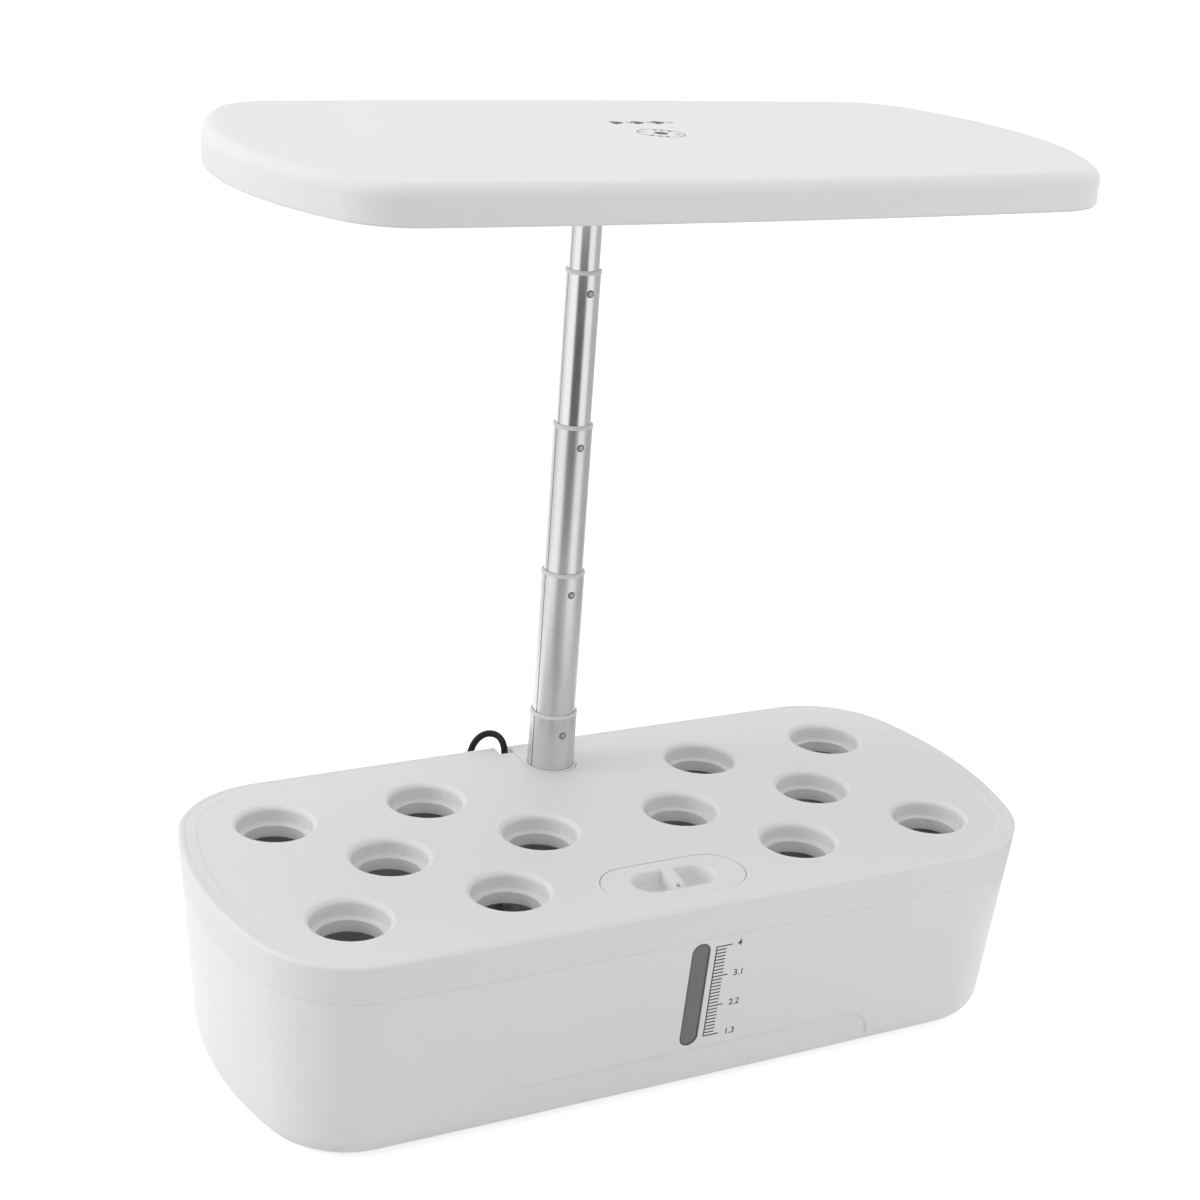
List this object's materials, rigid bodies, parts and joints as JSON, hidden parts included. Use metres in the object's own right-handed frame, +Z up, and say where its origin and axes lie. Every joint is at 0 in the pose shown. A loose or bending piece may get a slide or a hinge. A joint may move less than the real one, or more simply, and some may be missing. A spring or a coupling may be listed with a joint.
{
  "type": "countertop hydroponic garden",
  "caption": "Long water tank with a lift-off deck of pod wells, a level window and a fill cap, under a flat grow lamp on a telescopic mast.",
  "frame": {"origin": "on the table, under the middle of the tank", "axes": "+Z up along the mast, +X along the tank to the right, +Y to the rear where the mast and the cord are"},
  "size_m": [0.3916, 0.2297, 0.412],
  "materials": {
    "tank_shell": "smooth moulded white plastic, satin gloss",
    "deck_shell": "finely textured moulded white plastic",
    "lamp_shell": "smooth white plastic, soft sheen",
    "window": "smoke grey clear plastic",
    "seal": "soft black rubber",
    "foot_rubber": "grey rubber",
    "tube_satin": "satin drawn aluminium",
    "tube_bright": "bright polished tube",
    "collar_plastic": "light grey plastic",
    "bush_plastic": "white low-friction plastic",
    "button_steel": "small turned steel button",
    "spring_steel": "bent spring strip",
    "screw_steel": "plated steel",
    "pump_plastic": "dark moulded plastic",
    "impeller_plastic": "white plastic",
    "cup_rubber": "soft dark rubber",
    "cord_black": "black flexible sheath",
    "adapter_plastic": "fine textured black plastic",
    "pin_brass": "nickel plated blades",
    "board_white": "white coated circuit board",
    "led_yellow": "phosphor-covered diode",
    "board_green": "green circuit board"
  },
  "bodies": {
    "base": {"tank": "tank_shell", "level_window": "window", "window_seal": "seal", "rubber_feet": "foot_rubber", "mast_base": "tank_shell", "mast_base_screws": "screw_steel", "mast_tube_1": "tube_satin", "mast_collar_1": "collar_plastic", "pump_body": "pump_plastic", "pump_cover": "pump_plastic", "pump_outlet": "pump_plastic", "pump_cups": "cup_rubber", "cord_gland": "cord_black", "power_cord": "cord_black", "cord_coil": "cord_black", "cord_tail": "cord_black", "cord_tie": "cord_black", "adapter_case": "adapter_plastic", "adapter_pins": "pin_brass"},
    "lid": {"deck": "deck_shell"},
    "cap": {"fill_cap": "deck_shell"},
    "rotor": {"pump_impeller": "impeller_plastic"},
    "stage_2": {"mast_tube_2": "tube_satin", "mast_bush_2": "bush_plastic", "button_spring_1": "spring_steel", "mast_collar_2": "collar_plastic"},
    "stage_3": {"mast_tube_3": "tube_satin", "mast_bush_3": "bush_plastic", "button_spring_2": "spring_steel", "mast_collar_3": "collar_plastic"},
    "stage_4": {"mast_tube_4": "tube_bright", "mast_bush_4": "bush_plastic", "button_spring_3": "spring_steel", "mast_collar_4": "collar_plastic"},
    "lamp": {"mast_tube_5": "tube_bright", "mast_bush_5": "bush_plastic", "button_spring_4": "spring_steel", "lamp_cover": "lamp_shell", "lamp_tray": "lamp_shell", "led_board": "board_white", "leds": "led_yellow", "touch_board": "board_green", "lamp_socket": "lamp_shell", "lamp_screws": "screw_steel"},
    "button_1": {"snap_button_1": "button_steel"},
    "button_2": {"snap_button_2": "button_steel"},
    "button_3": {"snap_button_3": "button_steel"},
    "button_4": {"snap_button_4": "button_steel"}
  },
  "joints": [
    {"name": "stage_2_slide", "type": "slide", "parent": "base", "child": "stage_2", "axis": [0, 0, 1], "range_m": [-0.057, 0]},
    {"name": "stage_3_slide", "type": "slide", "parent": "stage_2", "child": "stage_3", "axis": [0, 0, 1], "range_m": [-0.057, 0]},
    {"name": "stage_4_slide", "type": "slide", "parent": "stage_3", "child": "stage_4", "axis": [0, 0, 1], "range_m": [-0.057, 0]},
    {"name": "lamp_slide", "type": "slide", "parent": "stage_4", "child": "lamp", "axis": [0, 0, 1], "range_m": [-0.04, 0]},
    {"name": "button_1_press", "type": "slide", "parent": "base", "child": "button_1", "axis": [0, 1, 0], "range_m": [0, 0.0007], "stiffness_N_per_m": 400},
    {"name": "button_2_press", "type": "slide", "parent": "stage_2", "child": "button_2", "axis": [0, 1, 0], "range_m": [0, 0.0007], "stiffness_N_per_m": 400},
    {"name": "button_3_press", "type": "slide", "parent": "stage_3", "child": "button_3", "axis": [0, 1, 0], "range_m": [0, 0.0007], "stiffness_N_per_m": 400},
    {"name": "button_4_press", "type": "slide", "parent": "stage_4", "child": "button_4", "axis": [0, 1, 0], "range_m": [0, 0.0007], "stiffness_N_per_m": 400},
    {"name": "lid_lift", "type": "slide", "parent": "base", "child": "lid", "axis": [0, 0, 1], "range_m": [0, 0.06]},
    {"name": "cap_lift", "type": "slide", "parent": "lid", "child": "cap", "axis": [0, 0, 1], "range_m": [0, 0.03]},
    {"name": "rotor_spin", "type": "hinge", "parent": "base", "child": "rotor", "pos_m": [0.054, 0.048, 0.0231], "axis": [0, 1, 0], "continuous": true}
  ]
}
